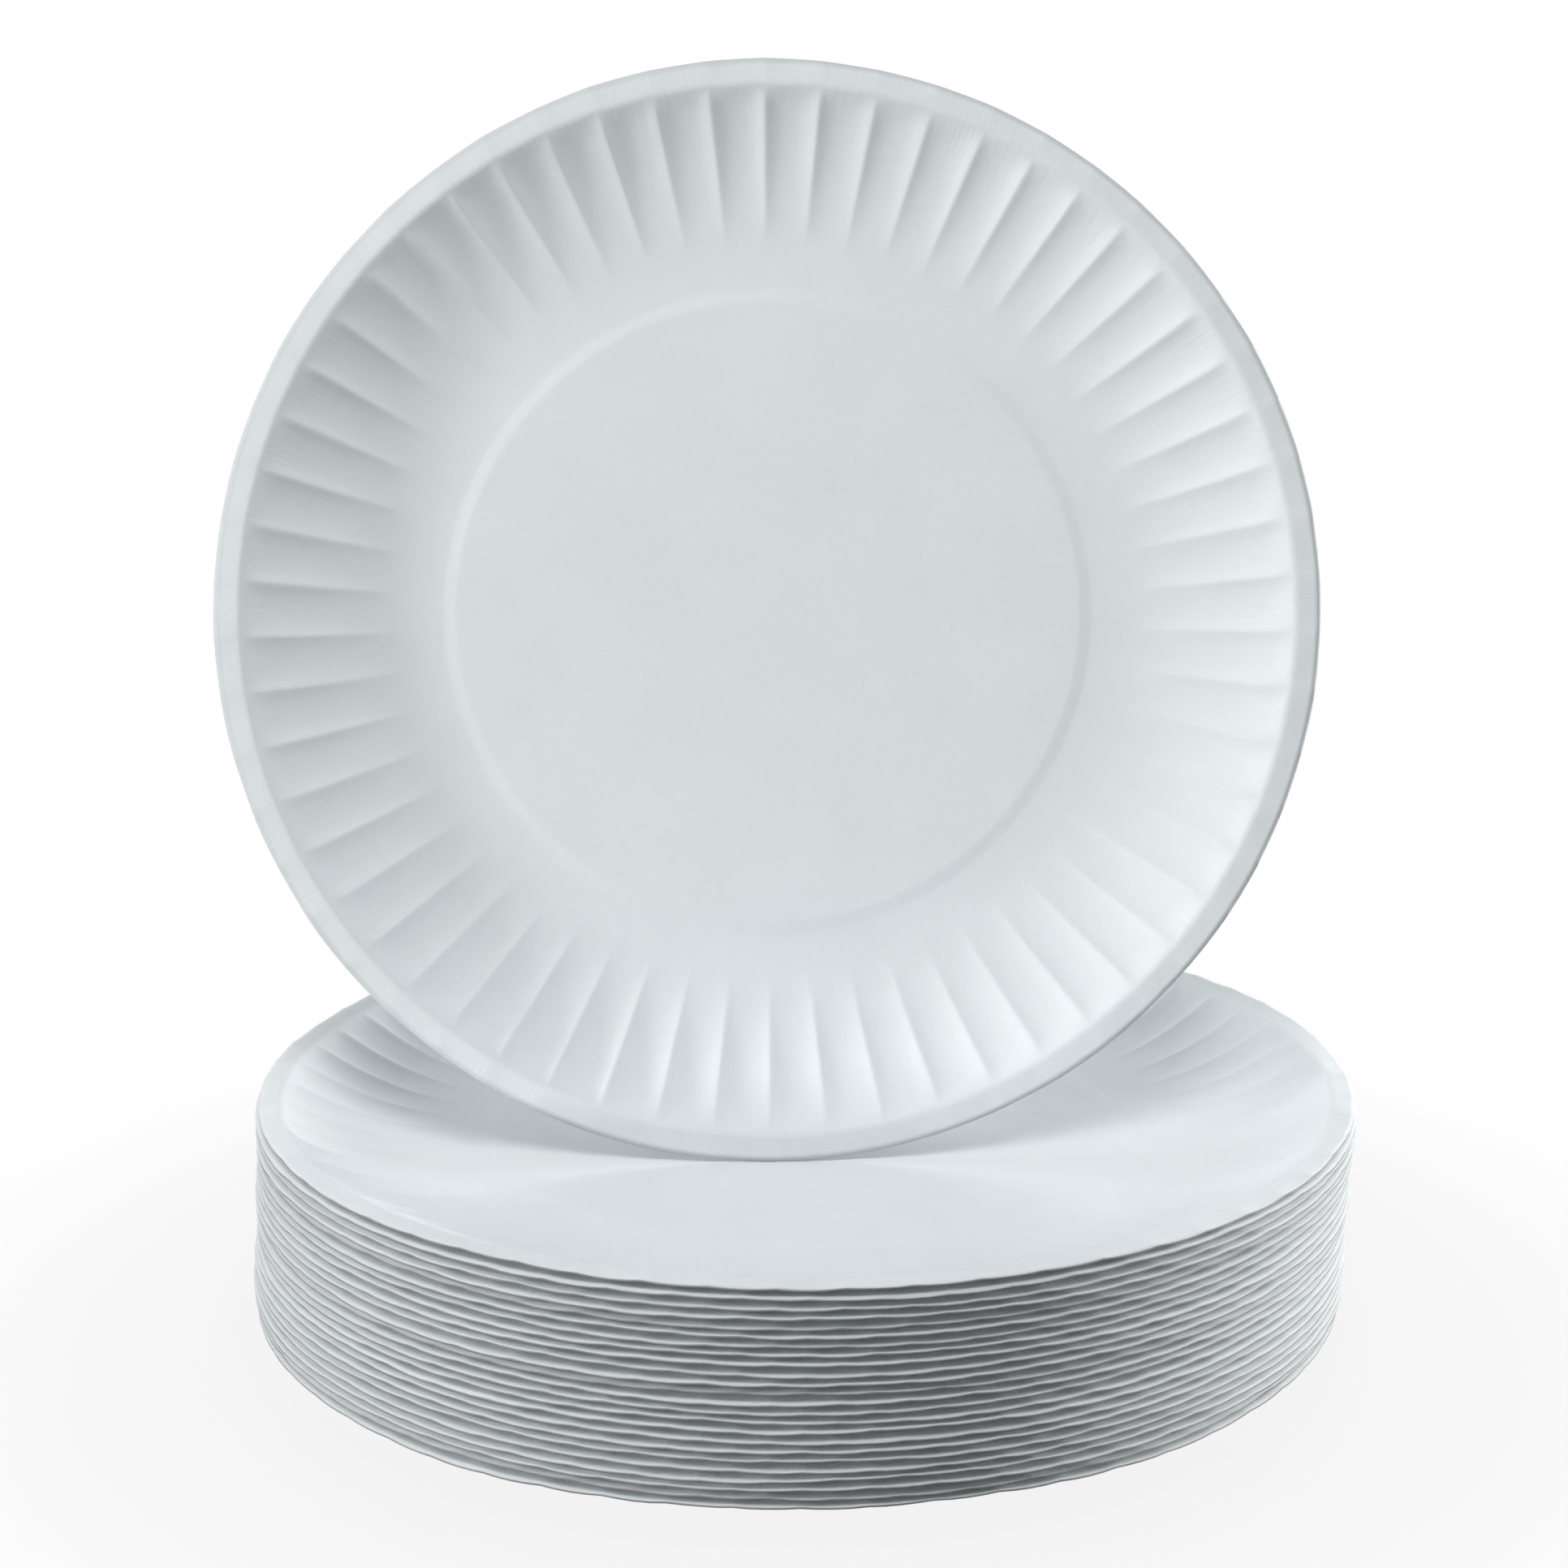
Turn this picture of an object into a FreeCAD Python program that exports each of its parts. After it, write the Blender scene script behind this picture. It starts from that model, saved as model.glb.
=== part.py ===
import FreeCAD, Part

import math
import os

from FreeCAD import Placement, Rotation, Vector

# Stack of fluted paper plates, with one more plate standing on its edge in the top plate's well.
# Millimetres and degrees. +Z is up, and -Y is the front, towards which the standing plate faces.
# The origin is the middle of the lowest plate's foot ring, on the surface that the stack rests on.

DIMENSIONS = [
    ("plate_diameter", 228.6, "Across the lip: the common nine inch plate"),
    ("paper_thickness", 0.4, "Pressed paperboard"),
    ("panel_diameter", 130.5, "Flat centre panel"),
    ("panel_rise", 0.4, "The centre panel stands this much above the foot ring"),
    ("crease_width", 3.0, "Curved step between the panel and the foot ring"),
    ("foot_width", 3.5, "Flat ring that the plate rests on"),
    ("wall_rim_slope", 33.0, "Slope of the wall under the crown, from level at the foot ring"),
    ("crown_radius", 2.2, "Radius of the rounded crown's underside"),
    ("lip_width", 4.3, "Plain lip outside the crown"),
    ("lip_slope", 2.0, "The lip droops by this angle"),
    ("flute_count", 58, "Flutes round the wall"),
    ("flute_depth", 1.25, "Crest to trough where a flute is deepest"),
    ("plain_wall_width", 5.0, "Smooth part of the wall inside the flutes"),
    ("flute_runout", 4.0, "Width over which a flute ends under the crown"),
    ("trough_breadth", 0.5, "Share of a flute's half that its wide trough takes"),
    ("crest_breadth", 0.22, "Share of a flute's half that its narrow crest takes"),
    ("plate_count", 24, "Plates in the lying stack"),
    ("nesting_clearance", 0.12, "Gap left between a crest and the trough above it"),
    ("stack_lean", 2.0, "The top plate sits this far to the right of the lowest one"),
    ("standing_lean", 17.0, "The standing plate leans back from upright"),
    ("standing_right", -7.5, "Standing plate's middle, to the right of the top plate's"),
    ("standing_back", -21.0, "Standing plate's lower edge, behind the top plate's middle"),
    ("standing_clearance", 0.1, "Gap left between the standing plate's edge and the panel"),
]

AXIS = Vector(0, 0, 1)
SIDEWAYS = Vector(1, 0, 0)
CENTRE = Vector(0, 0, 0)

# The curves are cubic. Where two spans of a surface meet, they share their slope.
DEGREE = 3
END_KNOT = DEGREE + 1
SMOOTH_KNOT = DEGREE - 1

# A flute grows almost evenly from its pointed inner end, and ends blunt under the crown. These are
# the shares of its height that the control points beside its two ends have.
POINTED_END = 0.35
BLUNT_END = 0.55

# Height from one lying plate to the next: a crest and a trough, the paper where the wall is steepest,
# and the gap.
PITCH = (
    "(Dimensions.flute_depth + Dimensions.paper_thickness / cos(Dimensions.wall_rim_slope * 1 deg)"
    " + Dimensions.nesting_clearance)"
)


def make_sheet(doc):
    """The spreadsheet of driving dimensions: name, value and meaning, one to a line."""
    sheet = doc.addObject("Spreadsheet::Sheet", "Dimensions")
    for line, (name, value, meaning) in enumerate(DIMENSIONS, start=1):
        sheet.set("A%d" % line, name)
        sheet.set("B%d" % line, str(value))
        sheet.set("C%d" % line, meaning)
        sheet.setAlias("B%d" % line, name)
    doc.recompute()
    return sheet


def inward(slope):
    """Across the paper from the underside to the inside, where the section has this slope."""
    return Vector(-math.sin(slope), 0, math.cos(slope))


def outward(slope):
    """Along the section away from the plate's middle, where it has this slope."""
    return Vector(math.cos(slope), 0, math.sin(slope))


class PlateProfile:
    """Half section of a plate: its underside, and its inside at one paper thickness above it.

    From the middle outwards: the flat panel, a curved crease, the flat foot ring, the wall as one
    concave arc, the crown as one convex arc, and the straight lip. Both skins share the arcs' centres,
    so the paper is equally thick everywhere.
    """

    def __init__(self, sheet):
        self.thickness = sheet.paper_thickness
        self.panel_radius = sheet.panel_diameter / 2
        self.panel_rise = sheet.panel_rise
        self.foot_inner = self.panel_radius + sheet.crease_width
        self.foot_outer = self.foot_inner + sheet.foot_width
        self.rim_slope = math.radians(sheet.wall_rim_slope)
        self.lip_slope = math.radians(sheet.lip_slope)
        self.crown_radius = sheet.crown_radius
        self.lip_length = sheet.lip_width / math.cos(self.lip_slope)

        crown_width = self.crown_radius * (math.sin(self.rim_slope) + math.sin(self.lip_slope))
        wall_width = sheet.plate_diameter / 2 - sheet.lip_width - crown_width - self.foot_outer
        self.wall_radius = wall_width / math.sin(self.rim_slope)
        self.wall_centre = Vector(self.foot_outer, 0, self.wall_radius)
        wall_end = self.wall_centre - inward(self.rim_slope) * self.wall_radius
        self.crown_centre = wall_end - inward(self.rim_slope) * self.crown_radius

        flute_start = math.asin(sheet.plain_wall_width / self.wall_radius)
        flute_peak = math.asin((wall_width - sheet.flute_runout) / self.wall_radius)
        self.wall_slopes = [0, flute_start, flute_peak, self.rim_slope]
        height = sheet.flute_depth / 2
        self.span_heights = [(0, 0), (height * POINTED_END, height), (height, height * BLUNT_END)]

    def wall_rows(self, lift):
        """Control points of the wall, with the height of a flute's crest at each of them."""
        radius = self.wall_radius - lift
        rows = [(self.wall_centre - inward(0) * radius, 0)]
        for first, last, heights in zip(self.wall_slopes, self.wall_slopes[1:], self.span_heights):
            handle = radius * (last - first) / DEGREE
            start = self.wall_centre - inward(first) * radius
            end = self.wall_centre - inward(last) * radius
            rows.append((start + outward(first) * handle, heights[0]))
            rows.append((end - outward(last) * handle, heights[1]))
        rows.append((end, 0))
        return rows

    def rim_rows(self, lift):
        """Control points of the crown and the lip, which have no flutes."""
        radius = self.crown_radius + lift
        handle = radius * (self.rim_slope + self.lip_slope) / DEGREE
        start = self.crown_centre + inward(self.rim_slope) * radius
        middle = self.crown_centre + inward(-self.lip_slope) * radius
        lip = outward(-self.lip_slope)
        points = [start, start + outward(self.rim_slope) * handle, middle - lip * handle]
        for step in range(1, DEGREE + 1):
            points.append(middle + lip * (self.lip_length * step / DEGREE))
        return [(point, 0) for point in points]

    def rim_knots(self, lift):
        """The crown's share and the lip's share of the way, by length."""
        crown_length = (self.crown_radius + lift) * (self.rim_slope + self.lip_slope)
        return [0, crown_length, crown_length + self.lip_length]

    def lip_corner(self, lift):
        """The outermost point of one skin."""
        return self.rim_rows(lift)[-1][0]


def turned(point, angle):
    """A point of the half section, carried round the plate's axis by an angle in radians."""
    return Vector(point.x * math.cos(angle), point.x * math.sin(angle), point.z)


def flute_points(point, height, sheet):
    """Control points across one flute at one row: trough, crest and the next trough.

    The points beside the trough and the crest lie on the circle's tangents there. The trough is wide
    and round, and the crest is a narrow ridge.
    """
    half = math.pi / int(sheet.flute_count)
    by_trough = half * sheet.trough_breadth
    by_crest = half * sheet.crest_breadth
    trough_point = Vector(point.x / math.cos(by_trough), 0, point.z)
    crest_point = Vector(point.x / math.cos(by_crest), 0, point.z)
    trough = AXIS * -height
    crest = AXIS * height
    return [
        turned(point, 0) + trough,
        turned(trough_point, by_trough) + trough,
        turned(crest_point, half - by_crest) + crest,
        turned(crest_point, half + by_crest) + crest,
        turned(trough_point, 2 * half - by_trough) + trough,
        turned(point, 2 * half) + trough,
    ]


def sector_surface(rows, knots, sheet):
    """Cubic surface over one flute's angle, from rows of the section and the knots between them."""
    poles = [flute_points(point, height, sheet) for point, height in rows]
    out_mults = [END_KNOT] + [SMOOTH_KNOT] * (len(knots) - 2) + [END_KNOT]
    round_mults = [END_KNOT, SMOOTH_KNOT, END_KNOT]
    surface = Part.BSplineSurface()
    surface.buildFromPolesMultsKnots(
        poles, out_mults, round_mults, knots, [0, 1, 2], False, False, DEGREE, DEGREE
    )
    return surface


def edge_across(surface, first):
    """A sector's inner or outer edge."""
    start, end = surface.bounds()[:2]
    return surface.uIso(start if first else end).toShape()


def centre_faces(profile, foot_edges, lift):
    """Panel, crease and foot ring of one skin. The foot ring ends at the sectors' inner edges."""
    panel_z = profile.panel_rise + lift
    panel = Part.Face(Part.Wire(Part.makeCircle(profile.panel_radius, Vector(0, 0, panel_z))))

    half_way = (profile.panel_radius + profile.foot_inner) / 2
    bend = Part.BezierCurve()
    bend.setPoles([
        Vector(profile.panel_radius, 0, panel_z),
        Vector(half_way, 0, panel_z),
        Vector(half_way, 0, lift),
        Vector(profile.foot_inner, 0, lift),
    ])
    crease = bend.toShape().revolve(CENTRE, AXIS, 360)

    foot_inside = Part.Wire(Part.makeCircle(profile.foot_inner, Vector(0, 0, lift)))
    foot = Part.makeFace([Part.Wire(foot_edges), foot_inside], "Part::FaceMakerBullseye")
    return [panel, crease, foot]


def repeated(shape, count):
    """Copies of a shape round the plate's axis, one for each flute."""
    return [shape.rotated(CENTRE, AXIS, 360 * turn / count) for turn in range(count)]


def make_plate(sheet):
    """One pressed plate, as a solid with its foot ring on the XY plane."""
    profile = PlateProfile(sheet)
    flute_count = int(sheet.flute_count)
    faces = []
    cut_edges = []
    for lift in (0, profile.thickness):
        wall = sector_surface(profile.wall_rows(lift), profile.wall_slopes, sheet)
        rim = sector_surface(profile.rim_rows(lift), profile.rim_knots(lift), sheet)
        foot_edge = edge_across(wall, first=True)
        cut_edges.append(edge_across(rim, first=False))
        faces += centre_faces(profile, repeated(foot_edge, flute_count), lift)
        faces += repeated(wall.toShape(), flute_count)
        faces += repeated(rim.toShape(), flute_count)
    faces += repeated(Part.makeRuledSurface(*cut_edges), flute_count)
    skin = Part.Compound(faces)
    skin.sewShape()
    plate = Part.Solid(skin.Shells[0])
    if plate.Volume < 0:
        plate.reverse()
    return plate


def add_plate(doc, name, plate, turn_axis):
    """A plate as an object of the document, not yet placed."""
    feature = doc.addObject("Part::Feature", name)
    feature.Label = name
    feature.Shape = plate.copy()
    feature.Placement = Placement(CENTRE, Rotation(turn_axis, 0))
    return feature


def place(feature, right, back, up, angle):
    """Bind a plate's place and its turn to formulas of the sheet's names."""
    feature.setExpression("Placement.Base.x", right)
    feature.setExpression("Placement.Base.y", back)
    feature.setExpression("Placement.Base.z", up)
    feature.setExpression("Placement.Rotation.Angle", angle)


def add_stack(doc, plate, plate_count):
    """The lying plates, lowest first. Every other one is turned by half a flute, so that its troughs
    rest on the crests below, and that sets the pitch of the stack.
    """
    plates = []
    for below in range(plate_count):
        feature = add_plate(doc, "plate_%02d" % (below + 1), plate, AXIS)
        place(
            feature,
            "Dimensions.stack_lean * %d / max(Dimensions.plate_count - 1; 1)" % below,
            "0",
            "%d * %s" % (below, PITCH),
            "%d * 180 / Dimensions.flute_count" % (below % 2),
        )
        plates.append(feature)
    return plates


def add_standing_plate(doc, sheet, plate):
    """The plate that stands on its edge on the top plate's panel, and leans back from upright."""
    profile = PlateProfile(sheet)
    tilt = Rotation(SIDEWAYS, 90 - sheet.standing_lean)
    corners = []
    for lift in (0, profile.thickness):
        corner = profile.lip_corner(lift)
        corners.append(tilt.multVec(Vector(0, -corner.x, corner.z)))
    lowest = min(corners, key=lambda corner: corner.z)
    feature = add_plate(doc, "standing_plate", plate, SIDEWAYS)
    place(
        feature,
        "Dimensions.stack_lean + Dimensions.standing_right",
        "Dimensions.standing_back + %.6f" % -lowest.y,
        "(Dimensions.plate_count - 1) * %s + Dimensions.panel_rise + Dimensions.paper_thickness"
        " + Dimensions.standing_clearance + %.6f" % (PITCH, -lowest.z),
        "90 - Dimensions.standing_lean",
    )
    return feature


def check(doc):
    """Stop unless every object was computed and holds a valid shape."""
    for item in doc.Objects:
        if "Invalid" in item.State or "Error" in item.State:
            raise RuntimeError("%s was not computed: %s" % (item.Label, item.State))
        if item.isDerivedFrom("Part::Feature") and (item.Shape.isNull() or not item.Shape.isValid()):
            raise RuntimeError("%s has no valid shape" % item.Label)


def main():
    doc = FreeCAD.newDocument("PaperPlates")
    sheet = make_sheet(doc)
    plate = make_plate(sheet)
    pieces = add_stack(doc, plate, int(sheet.plate_count))
    pieces.append(add_standing_plate(doc, sheet, plate))
    doc.recompute()
    check(doc)
    os.makedirs("parts", exist_ok=True)
    for piece in pieces:
        piece.Shape.exportStep("parts/%s.step" % piece.Label)
        print(piece.Label, "volume %.0f" % piece.Shape.Volume, piece.Placement)


if __name__ == "__main__":
    main()
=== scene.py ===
import math

import bpy
import numpy as np
from mathutils import Matrix, Vector


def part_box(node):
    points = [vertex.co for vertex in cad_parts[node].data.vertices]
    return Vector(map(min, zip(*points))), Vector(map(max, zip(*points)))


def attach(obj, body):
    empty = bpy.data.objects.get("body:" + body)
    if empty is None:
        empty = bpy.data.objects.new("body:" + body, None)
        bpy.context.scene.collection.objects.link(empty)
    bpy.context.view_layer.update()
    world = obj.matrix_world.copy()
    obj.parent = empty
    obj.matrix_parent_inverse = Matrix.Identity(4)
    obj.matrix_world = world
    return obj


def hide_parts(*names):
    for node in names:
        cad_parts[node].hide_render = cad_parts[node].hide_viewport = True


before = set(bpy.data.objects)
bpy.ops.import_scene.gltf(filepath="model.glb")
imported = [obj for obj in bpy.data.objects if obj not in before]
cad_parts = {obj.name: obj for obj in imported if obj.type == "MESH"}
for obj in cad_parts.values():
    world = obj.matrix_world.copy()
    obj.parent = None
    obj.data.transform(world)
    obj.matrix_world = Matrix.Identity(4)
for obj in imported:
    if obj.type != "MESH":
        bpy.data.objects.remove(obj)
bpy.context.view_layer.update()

# Stack of paper plates. Metres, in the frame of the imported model: +Z up, -Y towards the camera.
# Every plate is built here again from the sizes of the solids, with the small unevenness of real
# pressed paper at its lip, and stands for its node.

MM = 0.001

# The pressed form, in millimetres.
PLATE_DIAMETER = 228.6
PAPER = 0.4
PANEL_DIAMETER = 130.5
PANEL_RISE = 0.4
CREASE_WIDTH = 3.0
FOOT_WIDTH = 3.5
WALL_RIM_SLOPE = math.radians(33.0)
CROWN_RADIUS = 2.2
LIP_WIDTH = 4.3
LIP_SLOPE = math.radians(2.0)
PLAIN_WALL_WIDTH = 5.0

# The flutes: their runs in millimetres, and how full their section and their two ends are.
FLUTE_COUNT = 58
FLUTE_DEPTH = 1.25
FLUTE_RUNOUT = 3.6
TROUGH_BREADTH = 0.70
CREST_BREADTH = 0.15
POINTED_END = 0.35
BLUNT_END = 0.55
POINT_SHARE = 1 / 6

# How the plates lie and stand.
PLATE_COUNT = 24
STANDING_LEAN = 17.0

# Unevenness of the pressing and of its trimmed edge, in millimetres and in waves round the plate.
LYING_SAG = 0.44
STANDING_SAG = 0.3
SLOW_WAVES = range(2, 14)
SLOW_SAG_LIMIT = 0.4
QUICK_WAVES = range(16, 54)
QUICK_SAG_SHARE = 0.45
QUICK_SAG_LIMIT = 0.16
FLUTE_SAG = 0.12
TRIM_WAVES = range(1, 40)
TRIM_WAVE_SIZE = 0.34
TRIM_SHIFT = 0.35
SHALLOWEST_FLUTE = 0.86

# Fineness of the meshes: divisions of each flute, and steps over crease, wall, crown and lip.
FINE_DIVISIONS = 16
FINE_STEPS = (5, 22, 6, 4)
PLAIN_DIVISIONS = 6
PLAIN_STEPS = (2, 7, 3, 2)
CREST_GATHERING = 0.62
WALL_SPREAD = 0.8
PANEL_BORDER = 0.6
WAVE_SAMPLES = 400

PLATE_RADIUS = PLATE_DIAMETER / 2
PANEL_RADIUS = PANEL_DIAMETER / 2
FOOT_INNER = PANEL_RADIUS + CREASE_WIDTH
FOOT_OUTER = FOOT_INNER + FOOT_WIDTH
CROWN_WIDTH = CROWN_RADIUS * (math.sin(WALL_RIM_SLOPE) + math.sin(LIP_SLOPE))
WALL_OUTER = PLATE_RADIUS - LIP_WIDTH - CROWN_WIDTH
WALL_WIDTH = WALL_OUTER - FOOT_OUTER
WALL_RADIUS = WALL_WIDTH / math.sin(WALL_RIM_SLOPE)
WALL_RISE = WALL_RADIUS * (1 - math.cos(WALL_RIM_SLOPE))
FLUTE_START = math.asin(PLAIN_WALL_WIDTH / WALL_RADIUS)
FLUTE_PEAK = math.asin((WALL_WIDTH - FLUTE_RUNOUT) / WALL_RADIUS)

# Paper: colours, and the narrow band at the rim that is drawn darker, in metres.
PAPER_COLOUR = (0.775, 0.815, 0.83)
# The cut edge is darker than the paper: partly the greyer fibre of a cut board, mostly painted
# shade for the front of the stack.
CUT_EDGE_SHADED_COLOUR = (0.50, 0.48, 0.495)
DULL_BAND = (0.1129, 0.1140)
DULL_BAND_TONE = 0.82
CREASED_BAND = (0.086, 0.108)

# Studio, in metres.
FLOOR_COLOUR = (0.28, 0.28, 0.28, 1)
FLOOR_HALF_WIDTH = 4.0
FLOOR_FRONT = -4.0
FLOOR_BACK = 1.6
FLOOR_DROP = 0.00005
BEND_RADIUS = 0.8
BEND_STEPS = 24
BACKDROP_TOP = 4.0
SHADOW_REACH = (0.11, 0.24)
NEAR_WHITENESS = 0.88
NEUTRAL = (1.0, 1.0, 1.0)
WARM = (1.0, 0.995, 0.985)
COOL_AIR = (0.96, 0.98, 1.0, 1)
OBJECT_MIDDLE = (0, 0, 0.1)

# The photo's camera: its focal length is known in the photo's own pixels.
CAMERA_ELEVATION = math.radians(14.3)
CAMERA_ROLL = math.radians(-0.32)
CAMERA_TARGET = Vector((-0.00225, 0, 0.1178))
CAMERA_DISTANCE = 0.700
FOCAL_PIXELS = 4190.7
PHOTO_PIXELS = 1932
SENSOR_WIDTH = 36


def smoothstep(value):
    value = np.clip(value, 0, 1)
    return value * value * (3 - 2 * value)


def bezier(share, points):
    """Cubic curve through four control values."""
    rest = 1 - share
    return (
        rest ** 3 * points[0] + 3 * rest ** 2 * share * points[1]
        + 3 * rest * share ** 2 * points[2] + share ** 3 * points[3]
    )


def flute_height(slope):
    """How high a flute stands where the wall has this slope: pointed inside, blunt outside."""
    if slope <= FLUTE_START:
        return 0.0
    foot = POINTED_END * FLUTE_START / FLUTE_PEAK
    if slope <= FLUTE_PEAK:
        share = (slope - FLUTE_START) / (FLUTE_PEAK - FLUTE_START)
        point = float(smoothstep(share / POINT_SHARE))
        return float(bezier(share, (foot, POINTED_END, 1, 1))) * point
    share = (slope - FLUTE_PEAK) / (WALL_RIM_SLOPE - FLUTE_PEAK)
    return float(bezier(share, (1, 1, BLUNT_END, 0)))


def flute_wave(phase):
    """Across the flutes: a wide round trough at 0 and a narrow crest at a half, from -1 to 1."""
    share = np.linspace(0, 1, WAVE_SAMPLES)
    across = bezier(share, (0, TROUGH_BREADTH, 1 - CREST_BREADTH, 1))
    height = bezier(share, (-1, -1, 1, 1))
    return np.interp(1 - np.abs(2 * (phase % 1) - 1), across, height)


def section(lift, crease_steps, wall_steps, crown_steps, lip_steps):
    """Rows of one skin from the panel out to the lip: radius, height, flute height, lip share."""
    panel_height = PANEL_RISE + lift
    rows = [(PANEL_RADIUS - PANEL_BORDER, panel_height, 0, 0), (PANEL_RADIUS, panel_height, 0, 0)]
    for step in range(1, crease_steps + 1):
        share = step / (crease_steps + 1)
        rows.append((
            PANEL_RADIUS + CREASE_WIDTH * (0.5 * share + 0.5 * smoothstep(share)),
            PANEL_RISE * (1 - float(smoothstep(share))) + lift, 0, 0,
        ))
    rows.append((FOOT_INNER, lift, 0, 0))
    rows.append(((FOOT_INNER + FOOT_OUTER) / 2, lift, 0, 0))
    radius = WALL_RADIUS - lift
    for share in np.linspace(0, 1, wall_steps + 1):
        slope = WALL_RIM_SLOPE * float(share) ** WALL_SPREAD
        rows.append((
            FOOT_OUTER + radius * math.sin(slope), WALL_RADIUS - radius * math.cos(slope),
            flute_height(slope) * FLUTE_DEPTH / 2, 0,
        ))
    crown_x = WALL_OUTER + CROWN_RADIUS * math.sin(WALL_RIM_SLOPE)
    crown_z = WALL_RISE - CROWN_RADIUS * math.cos(WALL_RIM_SLOPE)
    radius = CROWN_RADIUS + lift
    for step in range(1, crown_steps + 1):
        slope = WALL_RIM_SLOPE - (WALL_RIM_SLOPE + LIP_SLOPE) * step / crown_steps
        rows.append((
            crown_x - radius * math.sin(slope), crown_z + radius * math.cos(slope), 0, 0,
        ))
    start_x, start_z = rows[-1][:2]
    for step in range(1, lip_steps + 1):
        way = LIP_WIDTH * step / lip_steps
        rows.append((start_x + way, start_z - way * math.tan(LIP_SLOPE), 0, step / lip_steps))
    return rows


def waves(angles, rng, modes, size):
    """A smooth closed curve round the plate, no higher than about its size."""
    total = np.zeros_like(angles)
    weight = 0
    for mode in modes:
        share = rng.uniform(0.4, 1.0) / math.sqrt(mode)
        total += share * np.cos(mode * angles + rng.uniform(0, 2 * math.pi))
        weight += share
    return size * total / (0.6 * weight)


def flute_phases(divisions):
    """Where the columns of the mesh stand, counted in flutes: closer together at the crests."""
    even = np.arange(divisions) / divisions
    gathered = even + CREST_GATHERING * np.sin(2 * math.pi * even) / (2 * math.pi)
    return (np.arange(FLUTE_COUNT)[:, None] + gathered[None, :]).ravel()


def pressed_wave(phase, rng):
    """The flutes round the plate, each pressed to a slightly different depth."""
    flute = np.floor(phase + 0.5).astype(int) % FLUTE_COUNT
    depth = rng.uniform(SHALLOWEST_FLUTE, 1.0, FLUTE_COUNT)
    passing = smoothstep((phase + 0.5) % 1)
    own_depth = depth[flute] * (1 - passing) + depth[(flute + 1) % FLUTE_COUNT] * passing
    return flute_wave(phase) * own_depth


def uneven_lip(angles, wave, rng, sag_size):
    """How far the lip sags and how far its trimmed edge reaches, round the plate."""
    slow = waves(angles, rng, SLOW_WAVES, sag_size)
    quick = waves(angles, rng, QUICK_WAVES, sag_size * QUICK_SAG_SHARE)
    sag = (
        np.clip(slow, -SLOW_SAG_LIMIT, SLOW_SAG_LIMIT)
        + np.clip(quick, -QUICK_SAG_LIMIT, QUICK_SAG_LIMIT)
        + FLUTE_SAG * wave
    )
    trim = waves(angles, rng, TRIM_WAVES, TRIM_WAVE_SIZE)
    return sag, trim + rng.uniform(-TRIM_SHIFT, TRIM_SHIFT)


def closed_faces(ring_count, count):
    """Quads from ring to ring, and one face that closes each end."""
    here = np.arange(count)
    there = (here + 1) % count
    faces = []
    for ring in range(ring_count - 1):
        low = ring * count
        high = low + count
        quads = np.stack([low + here, high + here, high + there, low + there], axis=1)
        faces += quads.tolist()
    return faces + [here.tolist(), ((ring_count - 1) * count + here[::-1]).tolist()]


def smooth_object(name, mesh_name, points, faces):
    """A smooth-shaded mesh object in the scene."""
    mesh = bpy.data.meshes.new(mesh_name)
    mesh.from_pydata(points, [], faces)
    mesh.polygons.foreach_set("use_smooth", [True] * len(mesh.polygons))
    piece = bpy.data.objects.new(name, mesh)
    bpy.context.scene.collection.objects.link(piece)
    return piece


def plate_piece(node, pose, seed, divisions, steps, sag_size, materials):
    """One plate as a closed mesh, placed by its pose, riding and standing for its node."""
    rng = np.random.default_rng(seed)
    phase = flute_phases(divisions)
    count = len(phase)
    angles = phase * 2 * math.pi / FLUTE_COUNT
    wave = pressed_wave(phase, rng)
    sag, trim = uneven_lip(angles, wave, rng, sag_size)

    inside = section(PAPER, *steps)
    under = section(0, *steps)
    rings = []
    for radius, height, flute, lip_share in inside + under[::-1]:
        reach = smoothstep((radius - WALL_OUTER) / (PLATE_RADIUS - WALL_OUTER))
        ring_radius = radius + trim * lip_share ** 2
        ring_height = height + wave * flute + sag * reach
        rings.append(np.stack([
            ring_radius * np.cos(angles), ring_radius * np.sin(angles), ring_height,
        ], axis=1))
    points = np.concatenate(rings)
    world = points @ np.array(pose.to_3x3()).T + np.array(pose.translation)
    faces = closed_faces(len(rings), count)
    piece = smooth_object("pressed_" + node, node + "_paper", (world * MM).tolist(), faces)
    mesh = piece.data

    slots = np.zeros(len(mesh.polygons), dtype=np.int32)
    slots[(len(inside) - 1) * count:len(inside) * count] = 1
    mesh.polygons.foreach_set("material_index", slots)
    layer = mesh.uv_layers.new(name="Disc")
    loops = np.zeros(len(mesh.loops), dtype=np.int32)
    mesh.loops.foreach_get("vertex_index", loops)
    layer.data.foreach_set("uv", (points[loops, :2] * MM).astype(np.float32).ravel())
    for material in materials:
        mesh.materials.append(material)
    mesh.validate()

    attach(piece, "root")
    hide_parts(node)
    return piece


def lying_pose(node, index):
    """Lies where its node's box has it, every other plate turned by half a flute."""
    low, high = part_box(node)
    turn = Matrix.Rotation(math.pi / FLUTE_COUNT * (index % 2), 4, "Z")
    return Matrix.Translation(((low[0] + high[0]) / 2 / MM, 0, low[2] / MM)) @ turn


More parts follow.
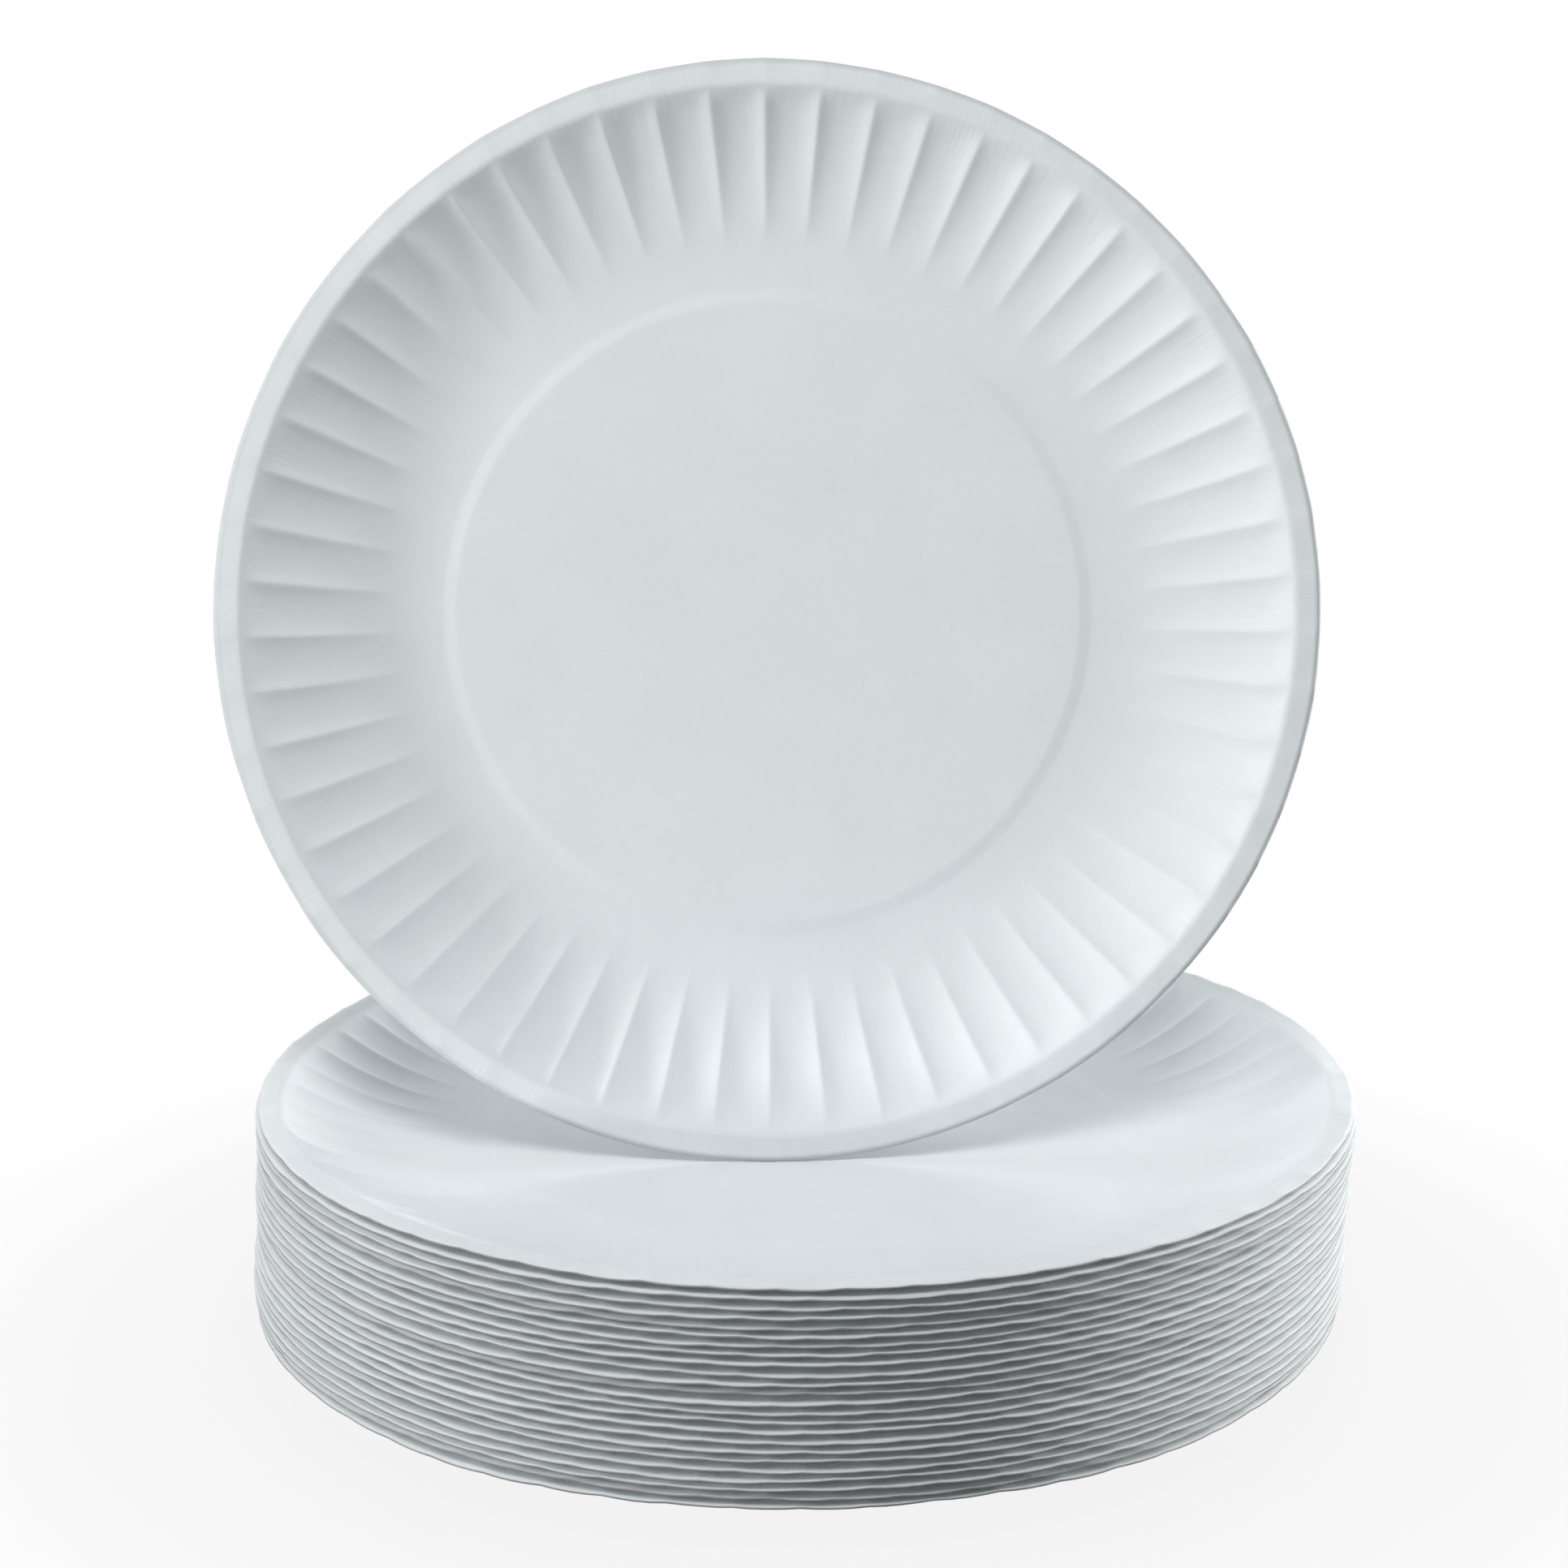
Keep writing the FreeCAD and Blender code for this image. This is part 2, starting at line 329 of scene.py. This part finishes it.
def standing_pose(node):
    """Stands where its node's box has it: its lowest and foremost points are edges of the lip."""
    low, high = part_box(node)
    under_radius, under_height = section(0, *PLAIN_STEPS)[-1][:2]
    inside_radius, inside_height = section(PAPER, *PLAIN_STEPS)[-1][:2]
    tilt = math.radians(90 - STANDING_LEAN)
    middle = (
        (low[0] + high[0]) / 2 / MM,
        low[1] / MM + inside_radius * math.cos(tilt) + inside_height * math.sin(tilt),
        low[2] / MM + under_radius * math.sin(tilt) - under_height * math.cos(tilt),
    )
    return Matrix.Translation(middle) @ Matrix.Rotation(tilt, 4, "X")


def new_material(name):
    """A material with its nodes, links and shader."""
    material = bpy.data.materials.new(name)
    material.use_nodes = True
    nodes = material.node_tree.nodes
    return material, nodes, material.node_tree.links, nodes["Principled BSDF"]


def noise(nodes, links, place, scale, detail, roughness=0.5, distortion=0.0):
    """Noise at a place."""
    node = nodes.new("ShaderNodeTexNoise")
    node.inputs["Scale"].default_value = scale
    node.inputs["Detail"].default_value = detail
    node.inputs["Roughness"].default_value = roughness
    node.inputs["Distortion"].default_value = distortion
    links.new(place, node.inputs["Vector"])
    return node.outputs["Fac"]


def map_range(nodes, links, value, source, target, smooth=True):
    """A value carried from one range to another, and held at its ends."""
    node = nodes.new("ShaderNodeMapRange")
    node.interpolation_type = "SMOOTHSTEP" if smooth else "LINEAR"
    node.inputs["From Min"].default_value, node.inputs["From Max"].default_value = source
    node.inputs["To Min"].default_value, node.inputs["To Max"].default_value = target
    links.new(value, node.inputs["Value"])
    return node.outputs["Result"]


def combine(nodes, links, operation, first, second):
    """Two values brought together by one operation."""
    node = nodes.new("ShaderNodeMath")
    node.operation = operation
    links.new(first, node.inputs[0])
    links.new(second, node.inputs[1])
    return node.outputs["Value"]


def vector_math(nodes, links, operation, vector):
    """The node of one operation on a vector."""
    node = nodes.new("ShaderNodeVectorMath")
    node.operation = operation
    links.new(vector, node.inputs[0])
    return node


def bump(nodes, links, height, strength, distance):
    """The node of a relief."""
    node = nodes.new("ShaderNodeBump")
    node.inputs["Strength"].default_value = strength
    node.inputs["Distance"].default_value = distance
    links.new(height, node.inputs["Height"])
    return node


def paper_colour(nodes, links, place, reach, colour, mottle_scale, darkest):
    """A faint mottle with flecks, duller in the band at the rim."""
    mottle = noise(nodes, links, place, mottle_scale, 5, 0.6)
    tint = nodes.new("ShaderNodeValToRGB")
    dark, pale = tint.color_ramp.elements
    dark.position = 0.3
    dark.color = tuple(part * darkest for part in colour) + (1,)
    pale.position = 0.7
    pale.color = tuple(colour) + (1,)
    links.new(mottle, tint.inputs["Fac"])

    fleck = noise(nodes, links, place, 1500, 3)
    fleck_tone = map_range(nodes, links, fleck, (0.3, 0.7), (0.975, 1.0), smooth=False)
    rim_tone = map_range(nodes, links, reach, DULL_BAND, (1.0, DULL_BAND_TONE))
    tone = combine(nodes, links, "MULTIPLY", fleck_tone, rim_tone)
    blend = vector_math(nodes, links, "SCALE", tint.outputs["Color"])
    links.new(tone, blend.inputs["Scale"])
    return blend.outputs["Vector"]


def paper_relief(nodes, links, place, disc, reach, strength, grain):
    """The felt-side grain, and fine creases that run outwards near the rim."""
    fibre = noise(nodes, links, place, grain, 6, 0.62, 0.8)
    felt = bump(nodes, links, fibre, strength, 0.00008)

    ray = vector_math(nodes, links, "NORMALIZE", disc)
    round_place = vector_math(nodes, links, "SCALE", ray.outputs["Vector"])
    round_place.inputs["Scale"].default_value = 130
    out_place = vector_math(nodes, links, "MULTIPLY_ADD", disc)
    out_place.inputs[1].default_value = (45, 45, 45)
    links.new(round_place.outputs["Vector"], out_place.inputs[2])
    crease = noise(nodes, links, out_place.outputs["Vector"], 1, 2)
    near_rim = map_range(nodes, links, reach, CREASED_BAND, (0.0, 1.0))
    crease_height = combine(nodes, links, "MULTIPLY", crease, near_rim)
    pleats = bump(nodes, links, crease_height, 0.35, 0.0002)
    links.new(felt.outputs["Normal"], pleats.inputs["Normal"])
    return pleats.outputs["Normal"]


def paper_material(name, colour, roughness, strength, grain, mottle_scale, darkest):
    """Uncoated pressed board: a faint mottle, fibres and a felt-side grain."""
    material, nodes, links, shader = new_material(name)
    shader.inputs["Roughness"].default_value = roughness
    shader.inputs["Specular IOR Level"].default_value = 0.25
    shader.inputs["Sheen Weight"].default_value = 0.06
    shader.inputs["Sheen Roughness"].default_value = 0.5
    place = nodes.new("ShaderNodeTexCoord").outputs["Object"]
    disc_map = nodes.new("ShaderNodeUVMap")
    disc_map.uv_map = "Disc"
    disc = disc_map.outputs["UV"]
    reach = vector_math(nodes, links, "LENGTH", disc).outputs["Value"]
    links.new(
        paper_colour(nodes, links, place, reach, colour, mottle_scale, darkest),
        shader.inputs["Base Color"],
    )
    links.new(
        paper_relief(nodes, links, place, disc, reach, strength, grain), shader.inputs["Normal"],
    )
    return material


def seen_straight(nodes, links):
    """1 for rays that show the background itself, also in a gloss or through a clear body."""
    rays = nodes.new("ShaderNodeLightPath").outputs
    gloss = combine(nodes, links, "MAXIMUM", rays["Is Camera Ray"], rays["Is Glossy Ray"])
    return combine(nodes, links, "MAXIMUM", gloss, rays["Is Transmission Ray"])


def sweep_material():
    """Pale paper near the object, so that it takes a shadow, and plain white far from it."""
    material, nodes, links, shader = new_material("studio_white")
    shader.inputs["Base Color"].default_value = FLOOR_COLOUR
    shader.inputs["Roughness"].default_value = 0.9
    shader.inputs["Specular IOR Level"].default_value = 0.1
    glow = nodes.new("ShaderNodeEmission")
    place = nodes.new("ShaderNodeTexCoord").outputs["Object"]
    distance = vector_math(nodes, links, "LENGTH", place).outputs["Value"]
    whiteness = map_range(nodes, links, distance, SHADOW_REACH, (NEAR_WHITENESS, 1.0))
    seen = combine(nodes, links, "MULTIPLY", seen_straight(nodes, links), whiteness)
    mix = nodes.new("ShaderNodeMixShader")
    links.new(seen, mix.inputs["Fac"])
    links.new(shader.outputs["BSDF"], mix.inputs[1])
    links.new(glow.outputs["Emission"], mix.inputs[2])
    links.new(mix.outputs["Shader"], nodes["Material Output"].inputs["Surface"])
    return material


def white_sweep():
    """Floor that turns up into a backdrop."""
    rows = [(FLOOR_FRONT, 0.0)]
    for step in range(BEND_STEPS + 1):
        angle = math.radians(90) * step / BEND_STEPS
        rows.append((
            FLOOR_BACK + BEND_RADIUS * math.sin(angle), BEND_RADIUS * (1 - math.cos(angle)),
        ))
    rows.append((FLOOR_BACK + BEND_RADIUS, BACKDROP_TOP))
    sides = (-FLOOR_HALF_WIDTH, FLOOR_HALF_WIDTH)
    points = [(side, back, height - FLOOR_DROP) for back, height in rows for side in sides]
    faces = [(2 * row, 2 * row + 1, 2 * row + 3, 2 * row + 2) for row in range(len(rows) - 1)]
    sweep = smooth_object("studio_sweep", "studio_sweep", points, faces)
    sweep.data.materials.append(sweep_material())


def white_world(level, overhead, front_share):
    """Fill light, stronger from overhead, weaker from the front, and seen as plain white."""
    world = bpy.data.worlds.new("studio_air")
    bpy.context.scene.world = world
    world.use_nodes = True
    nodes = world.node_tree.nodes
    links = world.node_tree.links
    air = nodes["Background"]
    air.inputs["Color"].default_value = COOL_AIR
    split = nodes.new("ShaderNodeSeparateXYZ")
    links.new(nodes.new("ShaderNodeTexCoord").outputs["Generated"], split.inputs["Vector"])
    height = map_range(nodes, links, split.outputs["Z"], (0.0, 0.8), (level, overhead))
    depth = map_range(nodes, links, split.outputs["Y"], (-0.95, 0.3), (front_share, 1.0))
    links.new(combine(nodes, links, "MULTIPLY", height, depth), air.inputs["Strength"])
    white = nodes.new("ShaderNodeBackground")
    white.inputs["Color"].default_value = (1, 1, 1, 1)
    mix = nodes.new("ShaderNodeMixShader")
    links.new(seen_straight(nodes, links), mix.inputs["Fac"])
    links.new(air.outputs["Background"], mix.inputs[1])
    links.new(white.outputs["Background"], mix.inputs[2])
    links.new(mix.outputs["Shader"], nodes["World Output"].inputs["Surface"])


def softbox(name, place, target, size, power, colour):
    """A square soft light that faces its target."""
    data = bpy.data.lights.new(name, "AREA")
    data.shape = "SQUARE"
    data.size = size
    data.energy = power
    data.color = colour
    lamp = bpy.data.objects.new(name, data)
    lamp.location = place
    lamp.rotation_euler = (Vector(target) - Vector(place)).to_track_quat("-Z", "Y").to_euler()
    bpy.context.scene.collection.objects.link(lamp)


def photo_camera():
    """The camera that the photo was taken with."""
    data = bpy.data.cameras.new("photo_camera")
    data.sensor_width = SENSOR_WIDTH
    data.lens = FOCAL_PIXELS / PHOTO_PIXELS * SENSOR_WIDTH
    data.clip_start = 0.01
    camera = bpy.data.objects.new("photo_camera", data)
    bpy.context.scene.collection.objects.link(camera)
    back = Vector((0, -math.cos(CAMERA_ELEVATION), math.sin(CAMERA_ELEVATION)))
    camera.matrix_world = (
        Matrix.Translation(CAMERA_TARGET + back * CAMERA_DISTANCE)
        @ Matrix.Rotation(math.radians(90) - CAMERA_ELEVATION, 4, "X")
        @ Matrix.Rotation(CAMERA_ROLL, 4, "Z")
    )
    bpy.context.scene.camera = camera


paper = paper_material("paper_pressed", PAPER_COLOUR, 0.78, 0.35, 900, 60, 0.965)
# Cut edge material: its darker colour is partly the board's greyer fibre and mostly painted
# shade.
shaded_cut_edge = paper_material("paper_cut_edge_painted_shade", CUT_EDGE_SHADED_COLOUR, 0.9, 0.6, 2600, 110, 0.65)
papers = (paper, shaded_cut_edge)

for index in range(PLATE_COUNT):
    node = "plate_%02d" % (index + 1)
    pose = lying_pose(node, index)
    seed = 100 + index
    if index < PLATE_COUNT - 1:
        plate_piece(node, pose, seed, PLAIN_DIVISIONS, PLAIN_STEPS, LYING_SAG, papers)
    else:
        plate_piece(node, pose, seed, FINE_DIVISIONS, FINE_STEPS, LYING_SAG, papers)

node = "standing_plate"
plate_piece(node, standing_pose(node), 77, FINE_DIVISIONS, FINE_STEPS, STANDING_SAG, papers)

white_sweep()
white_world(0.12, 0.53, 0.4)
softbox("front_top_soft", (0.06, -0.95, 1.62), OBJECT_MIDDLE, 0.8, 15.8, NEUTRAL)
softbox("left_soft", (-1.6, -0.60, 0.80), OBJECT_MIDDLE, 0.8, 4.5, NEUTRAL)
softbox("right_soft", (1.6, -0.50, 0.95), OBJECT_MIDDLE, 0.8, 2.6, NEUTRAL)
softbox("left_back_soft", (-0.60, 1.40, 0.85), OBJECT_MIDDLE, 0.6, 5, NEUTRAL)
softbox("right_back_soft", (0.55, 1.40, 0.85), OBJECT_MIDDLE, 0.6, 6, NEUTRAL)
softbox("left_low_soft", (-1.1, -0.33, 0.05), (-0.1, 0, 0.03), 0.14, 8.5, WARM)
softbox("right_low_soft", (1.15, 0.30, 0.04), (0.1, 0, 0.03), 0.12, 19, WARM)
photo_camera()

bpy.context.scene.view_settings.view_transform = "Standard"
